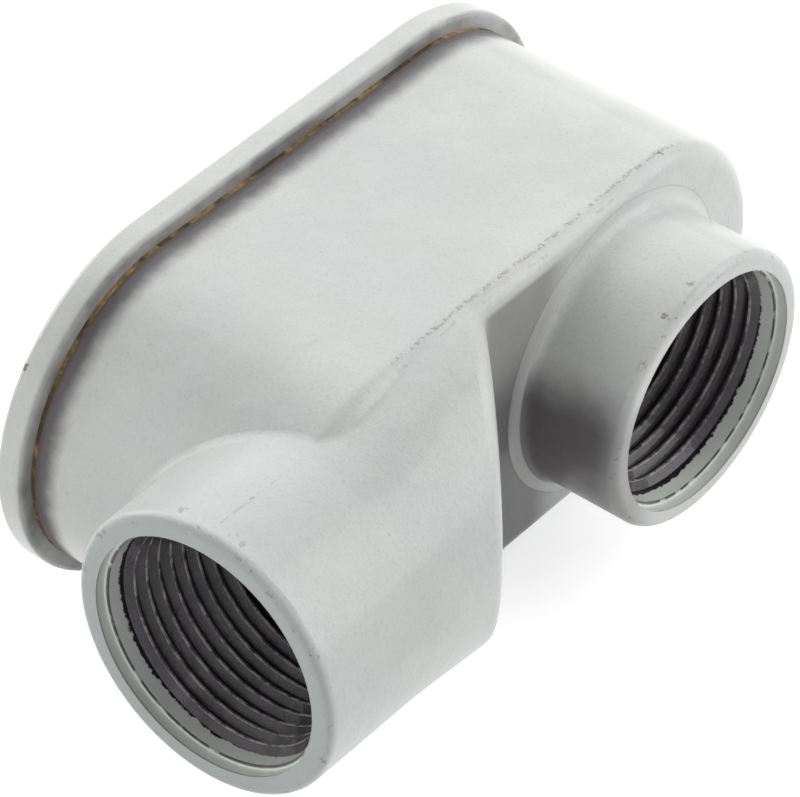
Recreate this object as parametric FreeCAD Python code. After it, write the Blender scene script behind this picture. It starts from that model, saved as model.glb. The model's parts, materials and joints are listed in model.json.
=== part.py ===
"""Conduit body, short right-angle pattern with a back outlet, 3/4 in trade size.

A one-piece iron casting carries two female-threaded hubs: the end hub points
along +X and the back hub along +Y.  Its open front, at -Y, is closed by a flat
cover on a fibre gasket, held by two slotted machine screws.

Units are millimetres.  The part lies on its long flat side, +Z up, with its
origin at the bottom centre of the box round everything.
"""
import FreeCAD, Part
import math
import os

V = FreeCAD.Vector

# ---- casting ---------------------------------------------------------------
BODY_LENGTH = 80.0          # over the two round ends
BODY_WIDTH = 38.0           # across the flats, also the diameter of the round ends
BODY_DEPTH = 30.0           # gasket face to back face
WALL = 2.8                  # casting wall
BACK_EDGE_RADIUS = 2.2      # rounding round the back face
CHAMBER_EDGE_RADIUS = 2.0   # rounding at the floor of the wiring chamber
BEND_BLEND = 1.5            # fillet where the bend grows out of the casting
BACK_HUB_BLEND = 1.8        # fillet where the back hub grows out of the back face

# ---- end hub and the bend behind it ----------------------------------------
END_HUB_RADIUS = 16.1
END_HUB_DROP = 1.5          # hub axis in from the back face
END_HUB_REACH = 47.8        # casting centre to the mouth
END_THREAD_DEPTH = 17.5
BEND_FOOT = 6.8             # casting centre to the foot of the sloping wall
BEND_ANGLE = 45.0           # slope of that wall, degrees
BEND_INSET = 0.1            # side of the bend in from the flat side, at the sloping wall
BEND_TAPER_END = 33.0       # casting centre to where the bend has narrowed to the hub
BEND_FLARE = 2.0            # 1 narrows the bend evenly, more leaves it wide for longer
BEND_EDGE_RADIUS = 2.4      # rounding round the sloping wall
BEND_STEPS = 6              # spans of the loft

# ---- back hub --------------------------------------------------------------
BACK_HUB_RADIUS = 15.7
BACK_HUB_OFFSET = 15.5      # casting centre to the hub axis, away from the end hub
BACK_HUB_RISE = 12.4        # back face to the mouth
BACK_LIP = 0.8              # how far the bushing stands in from the back wall

# ---- both hub mouths -------------------------------------------------------
MOUTH_ROUNDING = 1.0
THREAD_RADIUS = 13.2        # root radius of the 3/4-14 pipe thread
RECESS_RADIUS = 13.65       # plain recess before the thread starts
RECESS_DEPTH = 1.3
THROAT_RADIUS = 10.5        # integral bushing, as wide as the inside of the conduit
BUSHING_LENGTH = 3.0
BUSHING_WALL = 2.4          # wall of the bushing's collar inside the back face
BUSHING_ROUNDING = 0.8      # smooth edge that the wires are pulled over

# ---- cover, gasket and screws ----------------------------------------------
COVER_OVERHANG = 1.8
COVER_THICKNESS = 3.1
COVER_EDGE_RADIUS = 0.6
GASKET_THICKNESS = 0.5
SCREW_INSET = 6.5           # screw axis in from the end of the casting
SCREW_RADIUS = 2.08         # No. 8 machine screw
SCREW_LENGTH = 12.7         # under the head
SCREW_POINT = 0.5           # chamfer at the tip
HOLE_CLEARANCE = 0.35       # round the screw in the cover and the gasket
TAP_CLEARANCE = 0.1         # round the screw in its tapped hole
TAP_RUNOUT = 1.5            # tapped hole beyond the screw's tip
BOSS_RADIUS = 4.2
BOSS_END_WALL = 2.5         # metal beyond the tapped hole
HEAD_RADIUS = 3.7
HEAD_HEIGHT = 2.4
HEAD_CROWN = 1.0            # domed share of the head's height
SLOT_WIDTH = 1.1
SLOT_DEPTH = 1.2
SLOT_ANGLES = (20.0, 75.0)  # where the two screws stopped turning, degrees

# ---- derived ---------------------------------------------------------------
HALF_WIDTH = BODY_WIDTH / 2
END_CENTRE = BODY_LENGTH / 2 - HALF_WIDTH
SHOULDER = BODY_DEPTH - BACK_EDGE_RADIUS
FLOOR = BODY_DEPTH - WALL
END_HUB_HEIGHT = BODY_DEPTH - END_HUB_DROP
END_THROAT_FACE = END_HUB_REACH - END_THREAD_DEPTH - BUSHING_LENGTH
BACK_HUB_REACH = BODY_DEPTH + BACK_HUB_RISE
BACK_THROAT_FACE = FLOOR - BACK_LIP
BACK_THREAD_DEPTH = BACK_HUB_REACH - BACK_THROAT_FACE - BUSHING_LENGTH
SCREW_X = BODY_LENGTH / 2 - SCREW_INSET
COVER_BACK = -GASKET_THICKNESS
COVER_FRONT = COVER_BACK - COVER_THICKNESS
TAP_DEPTH = SCREW_LENGTH + COVER_FRONT + TAP_RUNOUT
BOSS_DEPTH = TAP_DEPTH + BOSS_END_WALL
REACH = 2 * (BODY_LENGTH + BODY_DEPTH)      # longer than anything that it cuts
PAST = 1.0                  # how far a cut runs on past the face that it opens
NEAR = 1e-3                 # closer than this is touching
ROUND_SLACK = 1e-6          # an ellipse is drawn at least this much wider than deep

ALONG_X = V(1, 0, 0)
ALONG_Y = V(0, 1, 0)
END_MOUTH = V(END_HUB_REACH, END_HUB_HEIGHT, 0)
BACK_MOUTH = V(-BACK_HUB_OFFSET, BACK_HUB_REACH, 0)
SCREW_PLACES = (V(-SCREW_X, 0, 0), V(SCREW_X, 0, 0))
BACKMOST = max(BACK_HUB_REACH, END_HUB_HEIGHT + END_HUB_RADIUS)
ORIGIN = V(
    (END_HUB_REACH - BODY_LENGTH / 2 - COVER_OVERHANG) / 2,
    (BACKMOST + COVER_FRONT - HEAD_HEIGHT) / 2,
    -HALF_WIDTH - COVER_OVERHANG,
)


def stadium(radius, front, back):
    """A prism with two round ends, drawn round the end centres."""
    right = V(END_CENTRE, front, 0)
    left = V(-END_CENTRE, front, 0)
    up = V(0, 0, radius)
    out = V(radius, 0, 0)
    edges = [
        Part.LineSegment(left + up, right + up).toShape(),
        Part.Arc(right + up, right + out, right - up).toShape(),
        Part.LineSegment(right - up, left - up).toShape(),
        Part.Arc(left - up, left - out, left + up).toShape(),
    ]
    return Part.Face(Part.Wire(edges)).extrude(V(0, back - front, 0))


def edges_at_depth(shape, depth):
    """The edges of a shape that lie in the plane y = depth."""
    return [
        edge for edge in shape.Edges
        if all(abs(point.y - depth) < NEAR for point in edge.discretize(5))
    ]


def rings_at(shape, centre, axis, radius):
    """The round edges of a shape that go about a centre, square to an axis."""
    found = []
    for edge in shape.Edges:
        arms = [point - centre for point in edge.discretize(5)]
        if all(abs(arm.Length - radius) < NEAR and abs(arm.dot(axis)) < NEAR for arm in arms):
            found.append(edge)
    return found


def lies_on(edge, shape):
    """True where the whole edge lies on the skin of a shape."""
    span = edge.LastParameter - edge.FirstParameter
    for share in (0.2, 0.4, 0.6, 0.8):
        point = Part.Vertex(edge.valueAt(edge.FirstParameter + share * span))
        if min(face.distToShape(point)[0] for face in shape.Faces) > NEAR:
            return False
    return True


def rounded_stadium(radius, front, back, rounding):
    """A stadium prism whose back edge is rounded."""
    prism = stadium(radius, front, back)
    return prism.makeFillet(rounding, edges_at_depth(prism, back))


def section(x, centre, half_depth, half_width):
    """An ellipse square to X; half_depth lies along Y, half_width along Z."""
    ellipse = Part.Ellipse(V(), max(half_width, half_depth + ROUND_SLACK), half_depth).toShape()
    axes = FreeCAD.Rotation(V(0, 0, 1), V(0, 1, 0), V(-1, 0, 0), "XYZ")
    ellipse.Placement = FreeCAD.Placement(V(x, centre, 0), axes)
    return Part.Wire([ellipse])


def bend_side(skin):
    """A block that holds everything on the hub's side of the sloping wall."""
    slope = math.radians(BEND_ANGLE)
    up_slope = V(math.cos(slope), math.sin(slope), 0)
    towards_hub = V(up_slope.y, -up_slope.x, 0)
    foot = V(BEND_FOOT, BODY_DEPTH, -REACH) + towards_hub * skin
    corners = [
        foot - up_slope * REACH,
        foot + up_slope * REACH,
        foot + up_slope * REACH + towards_hub * REACH,
        foot - up_slope * REACH + towards_hub * REACH,
    ]
    corners.append(corners[0])
    return Part.Face(Part.makePolygon(corners)).extrude(V(0, 0, 2 * REACH))


def bend_form(skin):
    """The bend between the sloping wall and the hub, shrunk all round by a skin.

    The section is round where it meets the hub.  Towards the sloping wall it
    widens until its sides are nearly flush with the flats of the casting.
    """
    start = BEND_FOOT - 2 * BEND_EDGE_RADIUS
    wires = []
    for step in range(BEND_STEPS + 1):
        share = step / BEND_STEPS
        taper = share ** BEND_FLARE
        widening = 1 - taper * taper * (3 - 2 * taper)
        centre = END_HUB_HEIGHT + widening * (SHOULDER - END_HUB_HEIGHT)
        half_depth = END_HUB_HEIGHT + END_HUB_RADIUS - centre
        half_width = END_HUB_RADIUS + widening * (HALF_WIDTH - BEND_INSET - END_HUB_RADIUS)
        x = start + share * (BEND_TAPER_END - start)
        wires.append(section(x, centre, half_depth - skin, half_width - skin))
    return Part.makeLoft(wires, True, False)


def end_hub_outside():
    """End hub and bend, with the mouth and the sloping wall rounded."""
    base = V(BEND_TAPER_END, END_HUB_HEIGHT, 0)
    hub = Part.makeCylinder(END_HUB_RADIUS, END_HUB_REACH - BEND_TAPER_END, base, ALONG_X)
    hub = hub.makeFillet(MOUTH_ROUNDING, rings_at(hub, END_MOUTH, ALONG_X, END_HUB_RADIUS))
    form = bend_form(0).fuse([hub], NEAR).common(bend_side(0))
    slope = math.tan(math.radians(BEND_ANGLE))
    rim = []
    for edge in form.Edges:
        points = edge.discretize(5)
        off = [abs(at.y - BODY_DEPTH - slope * (at.x - BEND_FOOT)) for at in points]
        if max(off) < NEAR and max(at.y for at in points) > BODY_DEPTH:
            rim.append(edge)
    return form.makeFillet(BEND_EDGE_RADIUS, rim)


def back_hub_outside():
    """Back hub, from inside the back wall to its rounded mouth."""
    base = V(-BACK_HUB_OFFSET, FLOOR, 0)
    hub = Part.makeCylinder(BACK_HUB_RADIUS, BACK_HUB_REACH - base.y, base, ALONG_Y)
    return hub.makeFillet(MOUTH_ROUNDING, rings_at(hub, BACK_MOUTH, ALONG_Y, BACK_HUB_RADIUS))


def casting_outside():
    """The outer form, with the roots of both hubs filleted."""
    box = rounded_stadium(HALF_WIDTH, 0, BODY_DEPTH, BACK_EDGE_RADIUS)
    bend = end_hub_outside()
    form = box.fuse(bend).removeSplitter()
    seam = [edge for edge in form.Edges if lies_on(edge, bend) and lies_on(edge, box)]
    form = form.makeFillet(BEND_BLEND, seam)
    form = form.fuse(back_hub_outside()).removeSplitter()
    foot = V(-BACK_HUB_OFFSET, BODY_DEPTH, 0)
    return form.makeFillet(BACK_HUB_BLEND, rings_at(form, foot, ALONG_Y, BACK_HUB_RADIUS))


def screw_boss(place):
    """A boss that grows out of the round end and takes one cover screw."""
    outward = 1 if place.x > 0 else -1
    boss = Part.makeCylinder(BOSS_RADIUS, BOSS_DEPTH, place, ALONG_Y)
    web_length = SCREW_INSET - WALL / 2
    corner = place + V(min(0, outward * web_length), 0, -BOSS_RADIUS)
    web = Part.makeBox(web_length, BOSS_DEPTH, 2 * BOSS_RADIUS, corner)
    return boss.fuse(web).removeSplitter()


def chamber():
    """The wiring chamber: what the core left out, open at the front."""
    space = rounded_stadium(HALF_WIDTH - WALL, 0, FLOOR, CHAMBER_EDGE_RADIUS)
    hub_base = V(END_THROAT_FACE, END_HUB_HEIGHT, 0)
    hub = Part.makeCylinder(END_HUB_RADIUS, END_HUB_REACH - END_THROAT_FACE, hub_base, ALONG_X)
    collar_base = V(-BACK_HUB_OFFSET, BACK_THROAT_FACE, 0)
    collar = Part.makeCylinder(THROAT_RADIUS + BUSHING_WALL, BACK_LIP, collar_base, ALONG_Y)
    space = space.cut(hub).cut(collar)
    for place in SCREW_PLACES:
        space = space.cut(screw_boss(place))
    before_hub = Part.makeBox(REACH, REACH, REACH, V(END_THROAT_FACE - REACH, 0, -REACH / 2))
    bend = bend_form(WALL).common(bend_side(WALL)).common(before_hub)
    return space.fuse(bend)


def hub_bore(mouth, inward, thread_depth):
    """Recess and thread bore, then the narrower throat through the bushing."""
    outside = mouth - inward * PAST
    recess = Part.makeCylinder(RECESS_RADIUS, PAST + RECESS_DEPTH, outside, inward)
    thread = Part.makeCylinder(THREAD_RADIUS, PAST + thread_depth, outside, inward)
    throat_length = thread_depth + BUSHING_LENGTH + PAST
    throat = Part.makeCylinder(THROAT_RADIUS, throat_length, mouth, inward)
    return recess.fuse(thread).fuse(throat)


def screw_hole(place, clearance, front, back):
    """The space that one cover screw passes through."""
    return Part.makeCylinder(SCREW_RADIUS + clearance, back - front, place + V(0, front, 0), ALONG_Y)


def casting():
    """The iron casting, hollow, bored and tapped."""
    solid = casting_outside().cut(chamber())
    solid = solid.cut(hub_bore(END_MOUTH, -ALONG_X, END_THREAD_DEPTH))
    solid = solid.cut(hub_bore(BACK_MOUTH, -ALONG_Y, BACK_THREAD_DEPTH))
    for place in SCREW_PLACES:
        solid = solid.cut(screw_hole(place, TAP_CLEARANCE, 0, TAP_DEPTH))
    end_throat = V(END_THROAT_FACE, END_HUB_HEIGHT, 0)
    back_throat = V(-BACK_HUB_OFFSET, BACK_THROAT_FACE, 0)
    lips = rings_at(solid, end_throat, ALONG_X, THROAT_RADIUS)
    lips += rings_at(solid, back_throat, ALONG_Y, THROAT_RADIUS)
    return solid.makeFillet(BUSHING_ROUNDING, lips)


def cover():
    """The flat cover plate, its rim rounded and its two screw holes plain."""
    plate = stadium(HALF_WIDTH + COVER_OVERHANG, COVER_FRONT, COVER_BACK)
    rim = edges_at_depth(plate, COVER_FRONT) + edges_at_depth(plate, COVER_BACK)
    plate = plate.makeFillet(COVER_EDGE_RADIUS, rim)
    for place in SCREW_PLACES:
        plate = plate.cut(screw_hole(place, HOLE_CLEARANCE, COVER_FRONT, COVER_BACK))
    return plate


def gasket():
    """A fibre sheet cut to the casting's rim and bosses."""
    sheet = stadium(HALF_WIDTH, COVER_BACK, 0)
    window = stadium(HALF_WIDTH - WALL, COVER_BACK, 0)
    for place in SCREW_PLACES:
        window = window.cut(screw_boss(place + V(0, COVER_BACK, 0)))
    sheet = sheet.cut(window)
    for place in SCREW_PLACES:
        sheet = sheet.cut(screw_hole(place, HOLE_CLEARANCE, COVER_BACK, 0))
    return sheet


def cover_screw(place, slot_angle):
    """A slotted pan-head machine screw, seated on the cover."""
    seat = COVER_FRONT
    tip = seat + SCREW_LENGTH
    side = seat - HEAD_HEIGHT + HEAD_CROWN
    dome = (HEAD_RADIUS ** 2 + HEAD_CROWN ** 2) / (2 * HEAD_CROWN)
    halfway = math.asin(HEAD_RADIUS / dome) / 2
    crown = V(dome * math.sin(halfway), seat - HEAD_HEIGHT + dome * (1 - math.cos(halfway)), 0)
    edges = [
        Part.LineSegment(V(0, seat - HEAD_HEIGHT, 0), V(0, tip, 0)).toShape(),
        Part.LineSegment(V(0, tip, 0), V(SCREW_RADIUS - SCREW_POINT, tip, 0)).toShape(),
        Part.LineSegment(
            V(SCREW_RADIUS - SCREW_POINT, tip, 0), V(SCREW_RADIUS, tip - SCREW_POINT, 0)
        ).toShape(),
        Part.LineSegment(V(SCREW_RADIUS, tip - SCREW_POINT, 0), V(SCREW_RADIUS, seat, 0)).toShape(),
        Part.LineSegment(V(SCREW_RADIUS, seat, 0), V(HEAD_RADIUS, seat, 0)).toShape(),
        Part.LineSegment(V(HEAD_RADIUS, seat, 0), V(HEAD_RADIUS, side, 0)).toShape(),
        Part.Arc(V(HEAD_RADIUS, side, 0), crown, V(0, seat - HEAD_HEIGHT, 0)).toShape(),
    ]
    screw = Part.Face(Part.Wire(edges)).revolve(V(), ALONG_Y, 360)
    corner = V(-2 * HEAD_RADIUS, seat - HEAD_HEIGHT - PAST, -SLOT_WIDTH / 2)
    slot = Part.makeBox(4 * HEAD_RADIUS, PAST + SLOT_DEPTH, SLOT_WIDTH, corner)
    slot.rotate(V(), ALONG_Y, slot_angle)
    screw = screw.cut(slot)
    screw.translate(place)
    return screw


def main():
    nodes = {
        "body": casting(),
        "gasket": gasket(),
        "cover": cover(),
        "cover_screws": Part.makeCompound(
            [cover_screw(place, angle) for place, angle in zip(SCREW_PLACES, SLOT_ANGLES)]
        ),
    }
    os.makedirs("parts", exist_ok=True)
    for name, shape in nodes.items():
        shape.translate(-ORIGIN)
        shape.exportStep("parts/" + name + ".step")
        box = shape.BoundBox
        print(
            name, "valid", shape.isValid(), "solids", len(shape.Solids),
            "volume", round(shape.Volume), "size",
            round(box.XLength, 2), round(box.YLength, 2), round(box.ZLength, 2),
        )


main()
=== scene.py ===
"""Looks for a short right-angle conduit body: enamel, bare iron, hub threads and the stage."""

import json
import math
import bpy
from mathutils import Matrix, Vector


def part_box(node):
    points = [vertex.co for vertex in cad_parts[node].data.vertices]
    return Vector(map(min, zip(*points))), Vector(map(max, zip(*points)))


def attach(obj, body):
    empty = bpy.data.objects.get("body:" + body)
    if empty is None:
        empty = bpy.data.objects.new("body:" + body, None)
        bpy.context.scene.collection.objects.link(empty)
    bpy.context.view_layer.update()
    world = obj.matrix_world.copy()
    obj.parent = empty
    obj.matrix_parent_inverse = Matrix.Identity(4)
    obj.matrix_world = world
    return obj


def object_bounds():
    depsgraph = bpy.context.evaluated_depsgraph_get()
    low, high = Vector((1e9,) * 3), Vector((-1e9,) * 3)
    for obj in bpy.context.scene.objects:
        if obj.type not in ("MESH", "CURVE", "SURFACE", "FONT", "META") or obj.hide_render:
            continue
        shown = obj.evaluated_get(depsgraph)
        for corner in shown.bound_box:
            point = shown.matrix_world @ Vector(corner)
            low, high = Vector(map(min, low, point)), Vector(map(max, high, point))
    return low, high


bl_info = {
    "name": "Conduit Body Finishes",
    "version": (1, 0, 0),
    "blender": (4, 5, 0),
    "location": "3D View > Sidebar > Conduit Body",
    "description": "Enamel, hub threads, gasket and screw finishes for a right-angle conduit body",
    "category": "Object",
}

import bpy
from mathutils import Matrix, Vector

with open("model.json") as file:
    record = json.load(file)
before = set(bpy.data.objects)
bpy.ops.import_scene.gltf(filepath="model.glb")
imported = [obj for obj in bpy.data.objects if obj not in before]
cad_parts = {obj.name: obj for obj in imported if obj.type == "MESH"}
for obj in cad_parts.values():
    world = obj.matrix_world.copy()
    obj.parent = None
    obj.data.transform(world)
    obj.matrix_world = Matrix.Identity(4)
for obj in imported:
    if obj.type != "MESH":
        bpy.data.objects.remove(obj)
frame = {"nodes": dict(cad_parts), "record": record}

MM = 0.001
CAD_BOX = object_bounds()
MOUNTS = {mount["name"]: mount for mount in frame["record"]["mounts"]}

# Places on the casting, in millimetres: along it, deep behind its gasket face, and across it.
CASTING_DEPTH = 30.0
PARTING_DEPTH = 28.3
RIM_RADIUS = 15.8

# Stains round each hub: degrees about its outward axis from straight across, depth behind the
# mouth, size and strength.
RIM_STAINS = {
    "end_hub": (
        (-12, 1.7, 0.45, 0.3),
        (-8, 1.8, 0.35, 0.35),
        (15, 1.8, 0.5, 0.4),
        (228, 1.3, 0.3, 0.9),
        (165, 1.3, 0.6, 1.0),
        (0, 6.8, 0.3, 0.4),
    ),
    "back_hub": (
        (175, 1.5, 0.7, 1.0),
        (27, 1.3, 0.4, 0.6),
        (11, 1.5, 0.45, 0.5),
    ),
}
# Two stains on the cover's edge and one on the parting line: along, deep, across, size, strength.
EDGE_STAINS = (
    (5.0, -3.4, 19.5, 0.5, 0.7),
    (37.5, -3.4, 12.5, 0.5, 0.8),
    (-24.0, 28.5, 19.0, 0.35, 0.7),
)
STAIN_EDGE = (1.15, 0.7)  # where a stain starts and is full, as shares of its size

SHIFT_STEP = Vector((17.0, 5.0, 11.0))
# Noise patterns: waves a millimetre, detail, roughness, and a shift that sets each apart.
PATTERNS = {
    "hub edge": (1.1, 4, 0.65, 0.0),
    "line breaks": (0.5, 2, 0.5, 2.0),
    "parting wander": (0.12, 2, 0.5, 21.0),
    "parting beads": (1.7, 2, 0.6, 22.0),
    "parting breaks": (0.7, 2, 0.6, 23.0),
    "clouds": (0.09, 3, 0.55, 1.0),
    "tint": (0.06, 2, 0.5, 6.0),
    "cast grain": (2.6, 4, 0.7, 4.0),
    "pocket shade edge": (0.12, 3, 0.6, 12.0),
    "joint edge": (0.5, 4, 0.6, 13.0),
    "ledge shade patches": (0.11, 3, 0.6, 14.0),
    "chips": (0.9, 4, 0.7, 7.0),
    "stain edge": (2.5, 3, 0.6, 0.0),
    "bore oil": (0.35, 3, 0.6, 9.0),
    "enamel wear": (0.25, 4, 0.6, 3.0),
    "enamel swell": (0.35, 2, 0.5, 5.0),
    "thread oil": (0.4, 4, 0.6, 9.0),
    "crest wear": (0.7, 4, 0.7, 11.0),
    "thread grain": (1.8, 4, 0.6, 0.0),
    "gasket flecks": (0.9, 5, 0.7, 0.0),
    "gasket oil": (0.16, 4, 0.7, 15.0),
    "gasket grain": (4.0, 3, 0.6, 0.0),
    "zinc clouds": (1.5, 4, 0.6, 0.0),
    "zinc marks": (6.0, 3, 0.5, 0.0),
}
# Patches of a pattern: the noise values at which they start and are full.
PATCHES = {
    "line breaks": (0.38, 0.5),
    "parting beads": (0.49, 0.60),
    "parting breaks": (0.5, 0.62),
    "clouds": (0.3, 0.75),
    "tint": (0.35, 0.7),
    "cast grain": (0.5, 0.72),
    "ledge shade patches": (0.4, 0.66),
    "chips": (0.58, 0.68),
    "bore oil": (0.45, 0.65),
    "thread oil": (0.42, 0.66),
    "crest wear": (0.4, 0.6),
    "gasket flecks": (0.35, 0.7),
    "gasket oil": (0.44, 0.56),
}
# Edges that wander with a pattern: by how many millimetres in all.
WANDERS = {
    "hub edge": 1.3,
    "parting wander": 0.9,
    "pocket shade edge": 5.0,
    "joint edge": 1.2,
    "stain edge": 1.8,
}
# Spans in millimetres over which a mask rises from 0 to 1; a span may run backwards.
SPANS = {
    "bare behind enamel": (-0.08, 0.08),
    "bore skin": (0.35, 0.15),
    "past thread": (4.0, 3.6),
    "inside chamber wall": (-1.2, -1.7),
    "above chamber floor": (-1.3, -1.8),
    "below chamber mouth": (0.3, 0.8),
    "bend behind slope": (8.2, 9.2),
    "bend before hub": (27.6, 27.2),
    "bend below chamber": (24.0, 25.0),
    "seam on flat": (-1.6, -1.0),
    "seam start": (-34.0, -31.0),
    "seam end": (21.0, 18.0),
    "seam along hub": (33.0, 35.0),
    "seam on hub's side": (12.0, 15.0),
    "pocket start": (-8.0, -2.5),
    "pocket before slope": (7.4, 5.4),
    "pocket below casting": (28.9, 30.4),
    "pocket end": (46.0, 39.0),
    "pocket lower half": (9.0, 2.5),
    "pocket face": (30.9, 30.2),
    "pocket side": (17.4, 16.6),
    "fillet depth": (9.6, 10.0),
    "crease start": (11.0, 12.0),
    "crease end": (13.5, 13.0),
    "joint fade": (3.4, 0.9),
    "joint start": (-0.2, 0.0),
    "rim depth": (1.4, 0.3),
    "ring depth": (0.7, 0.1),
    "ring before mouth": (-2.0, -1.0),
    "lip radius": (13.85, 13.7),
    "lip start": (0.05, 0.3),
    "lip end": (5.5, 5.0),
    "thread start": (-0.5, 0.0),
    "thread end": (1.5, 1.0),
}
# Bands in millimetres: the middle, half the width, and the soft edge beyond it.
BANDS = {
    "fillet": (16.75, 0.5, 0.15),
    "crease": (17.5, 0.03, 0.1),
    "ledge": (-0.5, 0.12, 0.3),
    "parting line": (PARTING_DEPTH, 0.05, 0.28),
    "second line": (PARTING_DEPTH + 0.95, 0.05, 0.16),
    "hub line": (PARTING_DEPTH + 0.4, 0.04, 0.16),
    "rim": (15.9, 0.5, 0.7),
    "ring": (14.7, 1.2, 0.4),
}
LINE_HALF = 0.05
LINE_SOFT = 0.1
HUB_LINE_GAPS = (0.0, 0.3)  # makes the breaks of the hub's parting line shorter

# Strengths of the paints on the enamel, with painted shade and painted light among them.
TINT_STRENGTH = 0.5
GRAIN_STRENGTH = 0.3
CREASE_STRENGTH = 0.18
JOINT_STRENGTH = 0.95
BEAD_STRENGTH = 0.2
HAIRLINE_STRENGTH = 0.2
FACE_SHADE_STRENGTH = 0.75
RECESS_LIGHT_STRENGTH = 0.85
CHIP_STRENGTH = 0.55
LINE_STRENGTH = 0.9
GASKET_OIL_STRENGTH = 0.85
FILLET_PAINTED_LIGHT = 0.55

# A mask or pattern times a gain, plus a base: how patchy or how rough something is.
LINE_BREAKS = (0.7, 0.3)
POCKET_SIDE_SHADE = (0.88, 0.04)
POCKET_FACE_SHADE = (0.22, 0.62)
LEDGE_SHADE_PATCHES = (0.4, 0.3)
CREST_WEAR = (0.8, 0.2)
ZINC_ROUGHNESS = (0.2, 0.22)

# How light and dark the tones of a colour are.
CLOUD_TONES = (0.93, 1.04)
GRAIN_TONE = 0.62
BORE_OIL_TONE = 2.2
THREAD_OIL_TONE = 3.0
FIBRE_TONES = (0.5, 1.2)
ZINC_TONES = (0.8, 1.15)

# The bend's inside: an oval about its axis, as shares of the two half sizes.
BEND_MIDDLE = 27.8
BEND_HALF_DEPTH = 15.4
BEND_HALF_WIDTH = 17.5
BEND_WALL = (0.945, 0.925)

# Roughness, coats and grain.
ENAMEL_WEAR = 0.16
PAINTED_SHADE_ROUGHNESS = 0.15
COAT_ROUGHNESS = 0.11
SWELL_HEIGHT = 2.5
BEAD_HEIGHT = 2.5
OIL_ROUGHNESS = 0.3
OIL_LOWER = 0.1
OIL_SHINE = 0.3
OIL_COAT = 0.35
OIL_COAT_ROUGHNESS = 0.06
CREST_REACH = (0.9, 0.97)
THREAD_GRAIN = 0.00014
GASKET_ROUGHNESS = 0.85
GASKET_GRAIN = 0.00005
ZINC_GRAIN = 0.00002

# The thread's run-out at both ends, its foot, and where it starts and stops, in turns or pitches.
RUNOUT_TURNS = 0.35
RUNOUT_SIZE = 0.05
RIDGE_FOOT = 0.94
START_BEFORE_EDGE = 0.45
END_SHORT = 0.5
SHARP_ANGLE = 20  # degrees

# Each soft light: its name, azimuth and elevation in degrees, share of the power, and width in metres.
SOFT_LIGHTS = (
    ("cover_side_light", 275, 25, 0.22, 1.0),
    ("hub_corner_light", 325, 15, 0.045, 0.8),
    ("back_left_light", 135, 30, 0.24, 0.9),
    ("far_corner_light", 212, 46, 0.29, 1.4),
    ("hub_side_light", 0, 12, 0.085, 0.7),
    ("front_light", 50, 28, 0.04, 0.6),
    ("small_light", 37, 43, 0.012, 0.05),
)
FLOOR_REACH = 3.0
FLOOR_GAP = 0.0001
FLOOR_ROUGHNESS = 0.9
FLOOR_SHINE = 0.1
SENSOR_WIDTH = 36.0
VIEW_END = 20.0


# ---- places read from the frame --------------------------------------------

class Hub:
    """A threaded hub: where its mouth is, which way it faces and how deep its thread runs."""

    def __init__(self, mount_name, recess):
        mount = MOUNTS[mount_name]
        length = mount["dims"]["length_mm"] * MM
        self.name = mount_name
        self.outward = Vector(mount["axis"])
        self.bore = mount["dims"]["r_mm"] * MM
        self.thread_end = length + recess
        self.mouth = Vector(mount["pos_m"]) + self.outward * (self.thread_end - length / 2)

    def placed(self, depth):
        """A matrix that sends +Z into the hub, from a depth behind its mouth."""
        turn = Vector((0, 0, 1)).rotation_difference(-self.outward).to_matrix().to_4x4()
        return Matrix.Translation(self.mouth - self.outward * depth) @ turn


def hubs(context):
    """Both hubs, with the recess that the panel sets."""
    recess = context.scene.conduit_thread.recess
    return [Hub("end_hub", recess), Hub("back_hub", recess)]


def casting_centre():
    """The middle of the casting's flat side, on its gasket face."""
    low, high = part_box("gasket")
    return Vector(((low.x + high.x) / 2, high.y, (low.z + high.z) / 2))


def stains(all_hubs):
    """Each small stain: its centre in millimetres from the casting's centre, its size and strength."""
    across = Vector((0, 0, 1))
    for hub in all_hubs:
        axis = (hub.mouth - casting_centre()) / MM
        for clock, depth, size, strength in RIM_STAINS[hub.name]:
            turned = Matrix.Rotation(math.radians(clock), 3, hub.outward) @ across
            yield axis - hub.outward * depth + turned * RIM_RADIUS, size, strength
    for along, deep, across, size, strength in EDGE_STAINS:
        yield Vector((along, deep, across)), size, strength


# ---- sizes and colours that a user would change -----------------------------

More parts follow.
